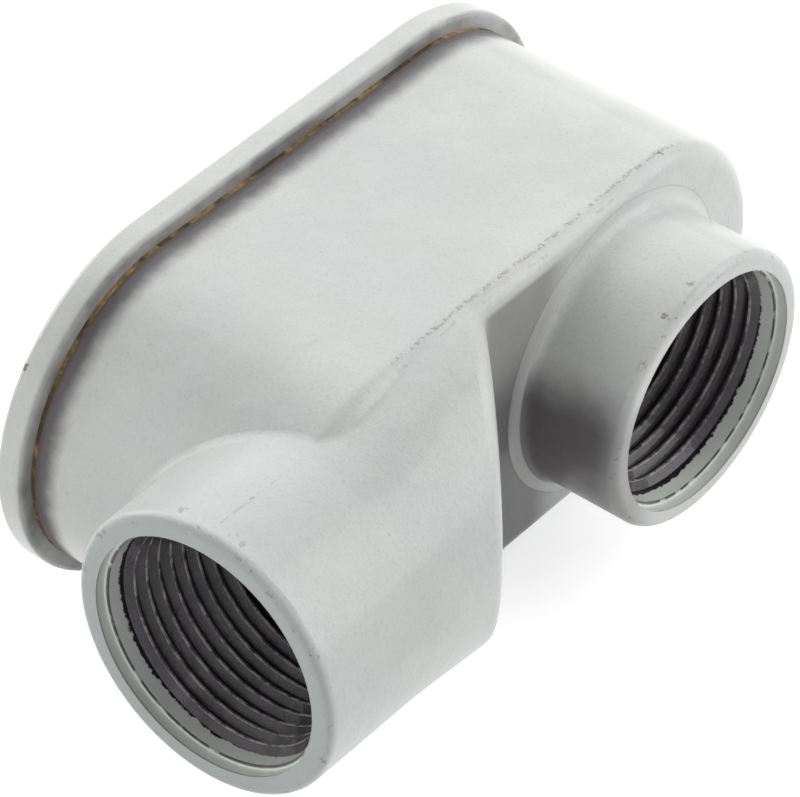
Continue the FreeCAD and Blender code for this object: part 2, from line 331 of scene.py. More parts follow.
class ConduitEnamelLook(bpy.types.PropertyGroup):
    """The light grey enamel on the casting and the cover."""
    colour: bpy.props.FloatVectorProperty(
        name="Enamel", description="Colour of the enamel", subtype="COLOR", size=3,
        min=0, max=1, default=(0.66, 0.672, 0.645))
    tint: bpy.props.FloatVectorProperty(
        name="Tint", description="Cooler tint of the enamel in places", subtype="COLOR", size=3,
        min=0, max=1, default=(0.60, 0.625, 0.65))
    # Painted shade: a darker colour laid on the end hub's face.
    rubbed: bpy.props.FloatVectorProperty(
        name="Face shade", description="Colour of the end hub's face, darkened as painted shade",
        subtype="COLOR", size=3, min=0, max=1, default=(0.36, 0.40, 0.39))
    # Painted shade: the dark colour laid in the pocket, in the back hub's crease, beside the gasket joint
    # and on the cover's ledge.
    painted_shade: bpy.props.FloatVectorProperty(
        name="Painted shade colour", description="Colour of the dark painted shade in the pocket and along the joint",
        subtype="COLOR", size=3, min=0, max=1, default=(0.070, 0.058, 0.066))
    grime: bpy.props.FloatVectorProperty(
        name="Grime", description="Colour of the dirt in corners and on rims", subtype="COLOR", size=3,
        min=0, max=1, default=(0.085, 0.06, 0.04))
    # Painted light: a lighter colour laid in each hub's recess.
    lip: bpy.props.FloatVectorProperty(
        name="Recess light", description="Colour of the painted light laid in a hub's recess", subtype="COLOR", size=3,
        min=0, max=1, default=(0.88, 0.91, 0.87))
    # Painted shade: the dark line at the step in each hub's recess.
    line: bpy.props.FloatVectorProperty(
        name="Line colour", description="Colour of the dark line in a hub's recess",
        subtype="COLOR", size=3, min=0, max=1, default=(0.03, 0.022, 0.02))
    roughness: bpy.props.FloatProperty(
        name="Roughness", description="Roughness of the enamel under its gloss",
        subtype="FACTOR", min=0, max=1, default=0.34)
    gloss: bpy.props.FloatProperty(
        name="Gloss", description="Weight of the clear, glossy top of the enamel",
        subtype="FACTOR", min=0, max=1, default=0.22)
    grain: bpy.props.FloatProperty(
        name="Cast grain", description="Height of the sand-cast grain that shows through the enamel",
        subtype="DISTANCE", unit="LENGTH", min=0, max=0.001, default=0.00005)
    edge_depth: bpy.props.FloatProperty(
        name="Enamel edge", description="How far the enamel runs into a hub before the bare thread starts",
        subtype="DISTANCE", unit="LENGTH", min=0, max=0.01, default=0.0030)
    line_depth: bpy.props.FloatProperty(
        name="Line", description="How far inside a hub's mouth the dark line in the enamel runs",
        subtype="DISTANCE", unit="LENGTH", min=0, max=0.01, default=0.00135)


class ConduitIronLook(bpy.types.PropertyGroup):
    """The bare iron that the thread was cut in, and the shade painted inside the casting."""
    colour: bpy.props.FloatVectorProperty(
        name="Oily iron", description="Colour of the blackened, oily thread", subtype="COLOR", size=3,
        min=0, max=1, default=(0.013, 0.010, 0.014))
    # Rubbed crests, also lighter as a painted highlight.
    crest_wear_and_highlight: bpy.props.FloatVectorProperty(
        name="Crests", description="Colour of the rubbed crests of the thread and their painted highlight", subtype="COLOR", size=3,
        min=0, max=1, default=(0.50, 0.47, 0.45))
    # Painted shade: a near-black colour laid inside the casting.
    inside_painted_shade: bpy.props.FloatVectorProperty(
        name="Inside", description="Colour of the near-black shade painted inside the casting", subtype="COLOR", size=3,
        min=0, max=1, default=(0.045, 0.042, 0.042))
    roughness: bpy.props.FloatProperty(
        name="Roughness", description="Roughness of the oily thread",
        subtype="FACTOR", min=0, max=1, default=0.3)


class ConduitThreadSizes(bpy.types.PropertyGroup):
    """The 3/4 in taper pipe thread, 14 to the inch."""
    pitch: bpy.props.FloatProperty(
        name="Pitch", description="From one crest to the next",
        subtype="DISTANCE", unit="LENGTH", min=0.0005, max=0.003, default=0.0254 / 14)
    height: bpy.props.FloatProperty(
        name="Height", description="From root to crest",
        subtype="DISTANCE", unit="LENGTH", min=0.0002, max=0.002, default=0.00078)
    crest_width: bpy.props.FloatProperty(
        name="Crest width", description="Width of the flat on a crest",
        subtype="DISTANCE", unit="LENGTH", min=0.00005, max=0.001, default=0.00022)
    recess: bpy.props.FloatProperty(
        name="Recess", description="Depth of the plain recess at a hub's mouth",
        subtype="DISTANCE", unit="LENGTH", min=0, max=0.01, default=0.0013)
    steps: bpy.props.IntProperty(
        name="Steps a turn", description="Sections of the ridge in one turn", min=24, max=256, default=120)


class ConduitGasketLook(bpy.types.PropertyGroup):
    """The vulcanised fibre of the gasket."""
    colour: bpy.props.FloatVectorProperty(
        name="Fibre", description="Colour of the gasket's fibre", subtype="COLOR", size=3,
        min=0, max=1, default=(0.42, 0.27, 0.10))
    oiled: bpy.props.FloatVectorProperty(
        name="Oiled fibre", description="Colour of the fibre where oil has soaked it",
        subtype="COLOR", size=3, min=0, max=1, default=(0.03, 0.022, 0.018))


class ConduitScrewLook(bpy.types.PropertyGroup):
    """The zinc plating of the cover screws."""
    colour: bpy.props.FloatVectorProperty(
        name="Zinc", description="Colour of the screws' zinc plating", subtype="COLOR", size=3,
        min=0, max=1, default=(0.55, 0.55, 0.53))


class ConduitStageLook(bpy.types.PropertyGroup):
    """Floor, light and camera."""
    floor_colour: bpy.props.FloatVectorProperty(
        name="Floor", description="Colour of the floor", subtype="COLOR", size=3,
        min=0, max=1, default=(0.9, 0.9, 0.9))
    light_power: bpy.props.FloatProperty(
        name="Lights", description="Power of all the soft lights together", unit="POWER",
        min=0, max=200, default=23.5)
    light_distance: bpy.props.FloatProperty(
        name="Light distance", description="From each soft light to the part",
        subtype="DISTANCE", unit="LENGTH", min=0.2, max=5, default=1.0)
    sky: bpy.props.FloatProperty(
        name="Sky", description="Strength of the even light from all round", min=0, max=2, default=0.03)
    floor_glow: bpy.props.FloatProperty(
        name="Floor glow", description="How much whiter the floor looks than its light makes it",
        subtype="FACTOR", min=0, max=1, default=0.6)
    azimuth: bpy.props.FloatProperty(
        name="Azimuth", description="Camera's direction from the part, turned from +X towards +Y",
        subtype="ANGLE", default=math.radians(37.331))
    elevation: bpy.props.FloatProperty(
        name="Elevation", description="Camera's height above the horizon",
        subtype="ANGLE", default=math.radians(41.199))
    roll: bpy.props.FloatProperty(
        name="Roll", description="Camera's turn about its line of sight",
        subtype="ANGLE", default=math.radians(2.243))
    distance: bpy.props.FloatProperty(
        name="Distance", description="From the camera to the point that it looks at",
        subtype="DISTANCE", unit="LENGTH", min=0.1, max=5, default=0.5572)
    lens: bpy.props.FloatProperty(
        name="Lens", description="Focal length in millimetres", min=10, max=500, default=246.0)
    aim: bpy.props.FloatVectorProperty(
        name="Aim", description="Where the camera looks, from the middle of the part's floor box",
        subtype="TRANSLATION", size=3, default=(0.00188, -0.00087, 0.0197))


# ---- shader building blocks --------------------------------------------------

class Shade:
    """Adds nodes to one material; a value may be a number, a tuple or a socket."""

    def __init__(self, name):
        self.material = bpy.data.materials.new(name)
        self.material.use_nodes = True
        self.tree = self.material.node_tree
        self.shader = self.tree.nodes["Principled BSDF"]
        place = self.add("ShaderNodeTexCoord").outputs["Object"]
        self.mm = self.vector("SCALE", place, scale=1 / MM)

    def add(self, kind, **settings):
        node = self.tree.nodes.new(kind)
        for key, value in settings.items():
            setattr(node, key, value)
        return node

    def put(self, socket, value):
        if isinstance(value, bpy.types.NodeSocket):
            self.tree.links.new(value, socket)
        elif value is not None:
            socket.default_value = value

    def math(self, operation, first, second=None):
        node = self.add("ShaderNodeMath", operation=operation)
        self.put(node.inputs[0], first)
        self.put(node.inputs[1], second)
        return node.outputs[0]

    def scaled(self, value, gain, base):
        return self.math("ADD", self.math("MULTIPLY", value, gain), base)

    def vector(self, operation, first, second=None, scale=None):
        node = self.add("ShaderNodeVectorMath", operation=operation)
        self.put(node.inputs[0], first)
        self.put(node.inputs[1], second)
        if scale is not None:
            node.inputs["Scale"].default_value = scale
        return node.outputs["Value" if operation in ("DOT_PRODUCT", "LENGTH") else "Vector"]

    def split(self, vector):
        node = self.add("ShaderNodeSeparateXYZ")
        self.put(node.inputs[0], vector)
        return node.outputs

    def length(self, first, second):
        """The length of an arm with these two parts."""
        squares = (self.math("POWER", first, 2.0), self.math("POWER", second, 2.0))
        return self.math("SQRT", self.math("ADD", *squares))

    def step(self, value, start, end):
        """0 before start and 1 after end, smooth between; start may lie after end."""
        node = self.add("ShaderNodeMapRange", interpolation_type="SMOOTHSTEP")
        falls = start > end
        self.put(node.inputs["Value"], value)
        self.put(node.inputs["From Min"], min(start, end))
        self.put(node.inputs["From Max"], max(start, end))
        node.inputs["To Min"].default_value = 1.0 if falls else 0.0
        node.inputs["To Max"].default_value = 0.0 if falls else 1.0
        return node.outputs["Result"]

    def span(self, value, name, offset=0.0):
        """The mask of a named span, counted from an offset in millimetres."""
        start, end = SPANS[name]
        return self.step(value, offset + start, offset + end)

    def band(self, value, middle, half, soft):
        """1 within half of a middle value, fading to 0 over a soft edge."""
        away = self.math("ABSOLUTE", self.math("SUBTRACT", value, middle))
        return self.step(away, half + soft, half)

    def noise(self, name):
        """The values of a named pattern, about 0.5."""
        scale, detail, roughness, shift = PATTERNS[name]
        node = self.add("ShaderNodeTexNoise", noise_dimensions="3D")
        shifted = self.vector("ADD", self.mm, tuple(SHIFT_STEP * shift))
        self.put(node.inputs["Vector"], shifted)
        self.put(node.inputs["Scale"], scale)
        self.put(node.inputs["Detail"], detail)
        self.put(node.inputs["Roughness"], roughness)
        return node.outputs[0]

    def patches(self, name):
        return self.step(self.noise(name), *PATCHES[name])

    def wander(self, name):
        """A named pattern as millimetres to either side."""
        return self.math("MULTIPLY", self.math("SUBTRACT", self.noise(name), 0.5), WANDERS[name])

    def mix(self, factor, first, second):
        node = self.add("ShaderNodeMix", data_type="RGBA")
        self.put(node.inputs[0], factor)
        for socket, value in ((node.inputs[6], first), (node.inputs[7], second)):
            self.put(socket, value if isinstance(value, bpy.types.NodeSocket) else (*value, 1.0))
        return node.outputs[2]

    def painted(self, colour, mask, strength, paint):
        """A colour with a paint laid over it where a mask is."""
        return self.mix(self.math("MULTIPLY", mask, strength), colour, paint)

    def all(self, *masks):
        result = masks[0]
        for mask in masks[1:]:
            result = self.math("MULTIPLY", result, mask)
        return result

    def any(self, *masks):
        result = masks[0]
        for mask in masks[1:]:
            result = self.math("MAXIMUM", result, mask)
        return result

    def bump(self, height, distance):
        node = self.add("ShaderNodeBump")
        node.inputs["Strength"].default_value = 1.0
        node.inputs["Distance"].default_value = distance
        self.put(node.inputs["Height"], height)
        return node.outputs[0]

    def hub_place(self, hub):
        """Distance from a hub's axis and depth behind its mouth, in millimetres."""
        arm = self.vector("SUBTRACT", self.mm, tuple(hub.mouth / MM))
        depth = self.vector("DOT_PRODUCT", arm, tuple(-hub.outward))
        radius = self.vector("LENGTH", self.vector("CROSS_PRODUCT", arm, tuple(hub.outward)))
        return radius, depth


def toned(colour, tone):
    """A lighter or darker tone of a colour."""
    return [min(1, channel * tone) for channel in colour]


# ---- finishes ----------------------------------------------------------------

class CastingPlace:
    """Where a point lies on the casting, as sockets in millimetres."""

    def __init__(self, shade):
        self.whole = shade.vector("SUBTRACT", shade.mm, tuple(casting_centre() / MM))
        self.along, self.deep, self.across = shade.split(self.whole)
        past_depth = shade.math("SUBTRACT", self.deep, CASTING_DEPTH)
        self.before_slope = shade.math("SUBTRACT", self.along, past_depth)


def bare_masks(shade, hub, look):
    """Where a hub is bare behind the ragged edge of its enamel, and the dark line of painted shade at the
    step in that enamel.
    """
    radius, depth = shade.hub_place(hub)
    edge = shade.math("ADD", shade.wander("hub edge"), look.edge_depth / MM)
    bore = shade.span(radius, "bore skin", hub.bore / MM)
    bare = shade.all(
        bore,
        shade.span(shade.math("SUBTRACT", depth, edge), "bare behind enamel"),
        shade.span(depth, "past thread", hub.thread_end / MM),
    )
    # Painted shade: a broken dark line at the recess's step.
    line = shade.all(
        bore,
        shade.band(depth, look.line_depth / MM, LINE_HALF, LINE_SOFT),
        shade.scaled(shade.patches("line breaks"), *LINE_BREAKS),
    )
    return bare, line, radius, depth


def chamber_mask(shade, place):
    """1 on the walls of the wiring chamber, which are painted dark as shade."""
    low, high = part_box("gasket")
    half_width = (high.z - low.z) / 2 / MM
    half_straight = (high.x - low.x) / 2 / MM - half_width
    past_straight = shade.math("SUBTRACT", shade.math("ABSOLUTE", place.along), half_straight)
    off_spine = shade.length(shade.math("MAXIMUM", past_straight, 0.0), place.across)
    return shade.all(
        shade.span(off_spine, "inside chamber wall", half_width),
        shade.span(place.deep, "above chamber floor", CASTING_DEPTH),
        shade.span(place.deep, "below chamber mouth"),
    )


def bend_inside_mask(shade, place):
    """1 on the inner walls of the bend, between the chamber and the end hub's bushing."""
    tall = shade.math("DIVIDE", shade.math("SUBTRACT", place.deep, BEND_MIDDLE), BEND_HALF_DEPTH)
    wide = shade.math("DIVIDE", place.across, BEND_HALF_WIDTH)
    return shade.all(
        shade.step(shade.length(tall, wide), *BEND_WALL),
        shade.span(place.before_slope, "bend behind slope"),
        shade.span(place.along, "bend before hub"),
        shade.span(place.deep, "bend below chamber"),
    )


def parting_masks(shade, place):
    """The beaded line that the mould's parting left on both flats, and its hairlines beside it."""
    low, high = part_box("gasket")
    flat = (high.z - low.z) / 2 / MM
    on_flat = shade.all(
        shade.span(shade.math("ABSOLUTE", place.across), "seam on flat", flat),
        shade.span(place.along, "seam start"),
        shade.span(place.along, "seam end"),
    )
    at = shade.math("ADD", place.deep, shade.wander("parting wander"))
    breaks = shade.patches("parting breaks")
    beads = shade.all(on_flat, shade.band(at, *BANDS["parting line"]), shade.patches("parting beads"))
    beside = shade.all(on_flat, shade.band(at, *BANDS["second line"]), breaks)
    on_hub = shade.all(
        shade.span(place.along, "seam along hub"),
        shade.span(place.across, "seam on hub's side"),
        shade.band(at, *BANDS["hub line"]),
        shade.step(breaks, *HUB_LINE_GAPS),
    )
    return beads, shade.any(beside, on_hub)


def cast_tones(shade, look, grain):
    """Broad clouds, a cool tint, and fine specks of the cast grain."""
    dull, light = (toned(look.colour, tone) for tone in CLOUD_TONES)
    colour = shade.mix(shade.patches("clouds"), dull, light)
    colour = shade.painted(colour, shade.patches("tint"), TINT_STRENGTH, look.tint)
    specks = shade.step(grain, *PATCHES["cast grain"])
    return shade.painted(colour, specks, GRAIN_STRENGTH, toned(look.colour, GRAIN_TONE))


def pocket_shade(shade, place):
    """Painted shade in the pocket between the bend and the back hub, stronger in its lower half."""
    lower = shade.span(shade.math("ADD", place.across, shade.wander("pocket shade edge")), "pocket lower half")
    on_side = shade.scaled(lower, *POCKET_SIDE_SHADE)
    on_face = shade.all(
        shade.span(place.deep, "pocket face"),
        shade.scaled(lower, *POCKET_FACE_SHADE),
    )
    return shade.all(
        shade.span(place.along, "pocket start"),
        shade.span(place.before_slope, "pocket before slope"),
        shade.span(place.deep, "pocket below casting"),
        shade.span(place.deep, "pocket end"),
        shade.span(place.across, "pocket side"),
        shade.any(on_side, on_face),
    )


def back_hub_foot(shade, look, hub, colour, painted_shade):
    """Weakens the painted shade on the fillet at the back hub's foot, where light falls on it, and paints
    shade in its fine crease.
    """
    radius, depth = shade.hub_place(hub)
    fillet = shade.all(shade.band(radius, *BANDS["fillet"]), shade.span(depth, "fillet depth"))
    shade_left_on_fillet = shade.math("SUBTRACT", 1.0, shade.math("MULTIPLY", fillet, FILLET_PAINTED_LIGHT))
    # Painted shade in the crease at the fillet's edge.
    crease = shade.all(
        shade.band(radius, *BANDS["crease"]),
        shade.span(depth, "crease start"),
        shade.span(depth, "crease end"),
    )
    colour = shade.painted(colour, crease, CREASE_STRENGTH, look.painted_shade)
    return colour, shade.math("MULTIPLY", painted_shade, shade_left_on_fillet)


def hub_mouth(shade, look, hub, colour):
    """The enamel at a hub's mouth: painted shade on the end hub's face and in a dark line in the recess,
    painted light in the recess, and chips on the rim; and where the hub is bare behind it.
    """
    bare, line, radius, depth = bare_masks(shade, hub, look)
    if hub.name == "end_hub":
        # Painted shade on the end hub's face.
        ring = shade.all(
            shade.span(depth, "ring depth"),
            shade.band(radius, *BANDS["ring"]),
            shade.span(depth, "ring before mouth"),
        )
        colour = shade.painted(colour, ring, FACE_SHADE_STRENGTH, look.rubbed)
    # Painted light in the hub's recess.
    lip = shade.all(
        shade.span(radius, "lip radius"),
        shade.span(depth, "lip start"),
        shade.span(depth, "lip end"),
    )
    colour = shade.painted(colour, lip, RECESS_LIGHT_STRENGTH, look.lip)
    chips = shade.all(
        shade.span(depth, "rim depth"),
        shade.band(radius, *BANDS["rim"]),
        shade.patches("chips"),
    )
    colour = shade.painted(colour, chips, CHIP_STRENGTH, look.grime)
    return shade.painted(colour, line, LINE_STRENGTH, look.line), bare


def enamel(name, look, iron, all_hubs):
    """Glossy light grey enamel on cast iron; it stops short in the hubs, with painted shade inside, in the
    pocket, in the crease and along the joint, and painted light in the hub recesses.
    """
    shade = Shade(name)
    shader = shade.shader
    place = CastingPlace(shade)
    grain = shade.noise("cast grain")
    colour = cast_tones(shade, look, grain)
    # Painted shade in the pocket, lighter on the back hub's fillet.
    painted_shade = pocket_shade(shade, place)
    for hub in all_hubs:
        if hub.name == "back_hub":
            colour, painted_shade = back_hub_foot(shade, look, hub, colour, painted_shade)
    colour = shade.mix(painted_shade, colour, look.painted_shade)

    # The joint with the gasket: a painted shadow of the cover's rim, darkest at the joint and fading away
    # from it, and patchy painted shade on the cover's ledge beside it.
    above_joint = shade.math("ADD", place.deep, shade.wander("joint edge"))
    joint = shade.all(shade.span(above_joint, "joint fade"), shade.span(place.deep, "joint start"))
    colour = shade.painted(colour, joint, JOINT_STRENGTH, look.painted_shade)
    # Patchy painted shade on the cover's ledge.
    dirt = shade.scaled(shade.patches("ledge shade patches"), *LEDGE_SHADE_PATCHES)
    ledge = shade.all(shade.band(place.deep, *BANDS["ledge"]), dirt)
    colour = shade.mix(ledge, colour, look.painted_shade)

    beads, hairline = parting_masks(shade, place)
    colour = shade.painted(colour, beads, BEAD_STRENGTH, look.grime)
    colour = shade.painted(colour, hairline, HAIRLINE_STRENGTH, look.grime)
    bare_hubs = []
    for hub in all_hubs:
        colour, bare = hub_mouth(shade, look, hub, colour)
        bare_hubs.append(bare)
    stain_edge = shade.wander("stain edge")
    for centre, size, strength in stains(all_hubs):
        away = shade.vector("LENGTH", shade.vector("SUBTRACT", place.whole, centre))
        start, full = (size * share for share in STAIN_EDGE)
        spot = shade.step(shade.math("ADD", away, stain_edge), start, full)
        colour = shade.painted(colour, spot, strength, look.grime)

    # Painted shade inside the chamber and the bend, and the oily iron of the bare hubs.
    inside = chamber_mask(shade, place)
    if all_hubs:
        inside = shade.any(inside, bend_inside_mask(shade, place))
    colour = shade.mix(inside, colour, iron.inside_painted_shade)
    if bare_hubs:
        oily = shade.mix(shade.patches("bore oil"), iron.colour, toned(iron.colour, BORE_OIL_TONE))
        colour = shade.mix(shade.any(*bare_hubs), colour, oily)
    shade.put(shader.inputs["Base Color"], colour)

    worn = shade.scaled(shade.noise("enamel wear"), ENAMEL_WEAR, look.roughness - ENAMEL_WEAR / 2)
    # Rougher where shade is painted.
    rough_in_painted_shade = shade.math("MULTIPLY", shade.any(painted_shade, joint, ledge), PAINTED_SHADE_ROUGHNESS)
    shade.put(shader.inputs["Roughness"], shade.math("ADD", worn, rough_in_painted_shade))
    shader.inputs["Coat Weight"].default_value = look.gloss
    shader.inputs["Coat Roughness"].default_value = COAT_ROUGHNESS
    swell = shade.math("MULTIPLY", shade.noise("enamel swell"), SWELL_HEIGHT)
    raised = shade.math("MULTIPLY", beads, BEAD_HEIGHT)
    height = shade.math("ADD", shade.math("ADD", swell, grain), raised)
    shade.put(shader.inputs["Normal"], shade.bump(height, look.grain))
    return shade.material


def oily_thread(name, iron, all_hubs, height):
    """Blackened, oily iron whose crests are rubbed, and lighter still as a painted highlight."""
    shade = Shade(name)
    shader = shade.shader
    oil = shade.noise("thread oil")
    oiled = shade.step(oil, *PATCHES["thread oil"])
    colour = shade.mix(oiled, iron.colour, toned(iron.colour, THREAD_OIL_TONE))
    # Crests: rubbed wear and a painted highlight.
    crests = []
    for hub in all_hubs:
        radius, depth = shade.hub_place(hub)
        start, full = ((hub.bore - height * share) / MM for share in CREST_REACH)
        crests.append(shade.all(
            shade.step(radius, start, full),
            shade.span(depth, "thread start"),
            shade.span(depth, "thread end", hub.thread_end / MM),
        ))
    worn = shade.scaled(shade.patches("crest wear"), *CREST_WEAR)
    colour = shade.painted(colour, shade.any(*crests), worn, iron.crest_wear_and_highlight)
    shade.put(shader.inputs["Base Color"], colour)
    shader.inputs["Specular IOR Level"].default_value = OIL_SHINE
    roughness = shade.scaled(oil, OIL_ROUGHNESS, iron.roughness - OIL_LOWER)
    shade.put(shader.inputs["Roughness"], roughness)
    shader.inputs["Coat Weight"].default_value = OIL_COAT
    shader.inputs["Coat Roughness"].default_value = OIL_COAT_ROUGHNESS
    shade.put(shader.inputs["Normal"], shade.bump(shade.noise("thread grain"), THREAD_GRAIN))
    return shade.material


def gasket_fibre(name, look):
    """Matte vulcanised fibre, mottled and oiled along its cut edge."""
    shade = Shade(name)
    dark, light = (toned(look.colour, tone) for tone in FIBRE_TONES)
    colour = shade.mix(shade.patches("gasket flecks"), dark, light)
    colour = shade.painted(colour, shade.patches("gasket oil"), GASKET_OIL_STRENGTH, look.oiled)
    shade.put(shade.shader.inputs["Base Color"], colour)
    shade.shader.inputs["Roughness"].default_value = GASKET_ROUGHNESS
    shade.put(shade.shader.inputs["Normal"], shade.bump(shade.noise("gasket grain"), GASKET_GRAIN))
    return shade.material


def zinc_plate(name, look):
    """Zinc plated steel with faint turning marks."""
    shade = Shade(name)
    cloud = shade.noise("zinc clouds")
    dull, light = (toned(look.colour, tone) for tone in ZINC_TONES)
    shade.put(shade.shader.inputs["Base Color"], shade.mix(cloud, dull, light))
    shade.shader.inputs["Metallic"].default_value = 1.0
    shade.put(shade.shader.inputs["Roughness"], shade.scaled(cloud, *ZINC_ROUGHNESS))
    shade.put(shade.shader.inputs["Normal"], shade.bump(shade.noise("zinc marks"), ZINC_GRAIN))
    return shade.material


def dress(node_name, material):
    """Gives a CAD node its finish."""
    mesh = frame["nodes"][node_name].data
    mesh.materials.clear()
    mesh.materials.append(material)


# ---- the hub thread, as a swept ridge ------------------------------------------

THREAD_INPUTS = (
    ("Wall Radius", "NodeSocketFloat"),
    ("Pitch", "NodeSocketFloat"),
    ("Turns", "NodeSocketFloat"),
    ("Height", "NodeSocketFloat"),
    ("Crest Width", "NodeSocketFloat"),
    ("Steps", "NodeSocketInt"),
    ("Material", "NodeSocketMaterial"),
)


def thread_tree():
    """A node tree that sweeps a V-shaped ridge along a helix, run out at both ends."""
    tree = bpy.data.node_groups.new("Hub Thread", "GeometryNodeTree")
    for name, kind in THREAD_INPUTS:
        tree.interface.new_socket(name, in_out="INPUT", socket_type=kind)
    tree.interface.new_socket("Geometry", in_out="OUTPUT", socket_type="NodeSocketGeometry")
    nodes, link = tree.nodes, tree.links.new
    given = nodes.new("NodeGroupInput").outputs

    def number(operation, first, second):
        node = nodes.new("ShaderNodeMath")
        node.operation = operation
        for socket, value in zip(node.inputs, (first, second)):
            if isinstance(value, bpy.types.NodeSocket):
                link(value, socket)
            else:
                socket.default_value = value
        return node.outputs[0]

    helix = nodes.new("GeometryNodeCurveSpiral")
    link(given["Steps"], helix.inputs["Resolution"])
    link(given["Turns"], helix.inputs["Rotations"])
    link(given["Wall Radius"], helix.inputs["Start Radius"])
    link(given["Wall Radius"], helix.inputs["End Radius"])
    link(number("MULTIPLY", given["Turns"], given["Pitch"]), helix.inputs["Height"])
    helix.inputs["Reverse"].default_value = True
    upright = nodes.new("GeometryNodeSetCurveNormal")
    upright.mode = "Z_UP"
    link(helix.outputs[0], upright.inputs["Curve"])

    along = nodes.new("GeometryNodeSplineParameter").outputs["Factor"]
    from_end = number("MINIMUM", along, number("SUBTRACT", 1.0, along))
    runout = nodes.new("ShaderNodeMapRange")
    runout.interpolation_type = "SMOOTHSTEP"
    link(number("MULTIPLY", from_end, given["Turns"]), runout.inputs["Value"])
    runout.inputs["From Max"].default_value = RUNOUT_TURNS
    runout.inputs["To Min"].default_value = RUNOUT_SIZE
    swelling = nodes.new("GeometryNodeSetCurveRadius")
    link(upright.outputs[0], swelling.inputs["Curve"])
    link(runout.outputs["Result"], swelling.inputs["Radius"])

    ridge = nodes.new("GeometryNodeCurvePrimitiveQuadrilateral")
    ridge.mode = "TRAPEZOID"
    link(number("MULTIPLY", given["Pitch"], RIDGE_FOOT), ridge.inputs["Bottom Width"])
    link(given["Crest Width"], ridge.inputs["Top Width"])
    ridge.inputs["Offset"].default_value = 0.0
    link(given["Height"], ridge.inputs["Height"])
    stand = nodes.new("GeometryNodeTransform")
    link(ridge.outputs[0], stand.inputs["Geometry"])
    rise = nodes.new("ShaderNodeCombineXYZ")
    link(number("MULTIPLY", given["Height"], 0.5), rise.inputs["Y"])
    link(rise.outputs[0], stand.inputs["Translation"])
    turned = nodes.new("GeometryNodeTransform")
    link(stand.outputs[0], turned.inputs["Geometry"])
    turned.inputs["Rotation"].default_value = (0, 0, math.radians(90))

    sweep = nodes.new("GeometryNodeCurveToMesh")
    link(swelling.outputs[0], sweep.inputs["Curve"])
    link(turned.outputs[0], sweep.inputs["Profile Curve"])
    sweep.inputs["Fill Caps"].default_value = True
    real = nodes.new("GeometryNodeRealizeInstances")
    link(sweep.outputs[0], real.inputs[0])
    finish = nodes.new("GeometryNodeSetMaterial")
    link(real.outputs[0], finish.inputs["Geometry"])
    link(given["Material"], finish.inputs["Material"])
    link(finish.outputs[0], nodes.new("NodeGroupOutput").inputs[0])
    return tree


def grown(name, tree, values):
    """A plain mesh object made by a node tree with these named inputs."""
    host = bpy.data.objects.new(name + "_host", bpy.data.meshes.new(name + "_host"))
    bpy.context.scene.collection.objects.link(host)
    modifier = host.modifiers.new("Grow", "NODES")
    modifier.node_group = tree
    sockets = {item.name: item.identifier for item in tree.interface.items_tree if item.in_out == "INPUT"}
    for key, value in values.items():
        modifier[sockets[key]] = value
    host.update_tag()
    depsgraph = bpy.context.evaluated_depsgraph_get()
    mesh = bpy.data.meshes.new_from_object(host.evaluated_get(depsgraph))
    host.modifiers.clear()
    bpy.data.objects.remove(host)
    mesh.name = name
    piece = bpy.data.objects.new(name, mesh)
    bpy.context.scene.collection.objects.link(piece)
    return piece


def smooth_by_angle(piece, degrees):
    """Smooth shading that keeps edges sharper than an angle crisp."""
    piece.data.shade_smooth()
    piece.data.set_sharp_from_angle(angle=math.radians(degrees))


# ---- operators -------------------------------------------------------------------

class CONDUIT_OT_enamel_casting(bpy.types.Operator):
    """Enamels the casting outside and leaves its hubs bare behind the mouths"""
    bl_idname = "conduit.enamel_casting"
    bl_label = "Enamel the Casting"

    def execute(self, context):
        scene = context.scene
        dress("body", enamel("casting_enamel", scene.conduit_enamel, scene.conduit_iron, hubs(context)))
        return {"FINISHED"}


class CONDUIT_OT_enamel_cover(bpy.types.Operator):
    """Enamels the cover"""
    bl_idname = "conduit.enamel_cover"
    bl_label = "Enamel the Cover"

    def execute(self, context):
        scene = context.scene
        dress("cover", enamel("cover_enamel", scene.conduit_enamel, scene.conduit_iron, []))
        return {"FINISHED"}


class CONDUIT_OT_fibre_gasket(bpy.types.Operator):
    """Gives the gasket its tan fibre"""
    bl_idname = "conduit.fibre_gasket"
    bl_label = "Fibre Gasket"

    def execute(self, context):
        dress("gasket", gasket_fibre("gasket_fibre", context.scene.conduit_gasket))
        return {"FINISHED"}


class CONDUIT_OT_plate_screws(bpy.types.Operator):
    """Zinc plates the cover screws"""
    bl_idname = "conduit.plate_screws"
    bl_label = "Plate the Screws"

    def execute(self, context):
        dress("cover_screws", zinc_plate("screw_zinc", context.scene.conduit_screw))
        return {"FINISHED"}


class CONDUIT_OT_cut_threads(bpy.types.Operator):
    """Grows the pipe thread in both hubs"""
    bl_idname = "conduit.cut_threads"
    bl_label = "Cut the Hub Threads"

    def execute(self, context):
        scene = context.scene
        sizes = scene.conduit_thread
        all_hubs = hubs(context)
        tree = thread_tree()
        material = oily_thread("oily_thread", scene.conduit_iron, all_hubs, sizes.height)
        for hub in all_hubs:
            start = scene.conduit_enamel.edge_depth - START_BEFORE_EDGE * sizes.pitch
            turns = (hub.thread_end - start) / sizes.pitch - END_SHORT
            piece = grown(hub.name + "_thread", tree, {
                "Wall Radius": hub.bore,
                "Pitch": sizes.pitch,
                "Turns": turns,
                "Height": sizes.height,
                "Crest Width": sizes.crest_width,
                "Steps": sizes.steps,
                "Material": material,
            })
            if not piece.data.polygons:
                raise RuntimeError("the thread tree made no mesh for " + hub.name)
            piece.data.transform(hub.placed(start + sizes.pitch / 2))
            smooth_by_angle(piece, SHARP_ANGLE)
            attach(piece, "root")
        return {"FINISHED"}


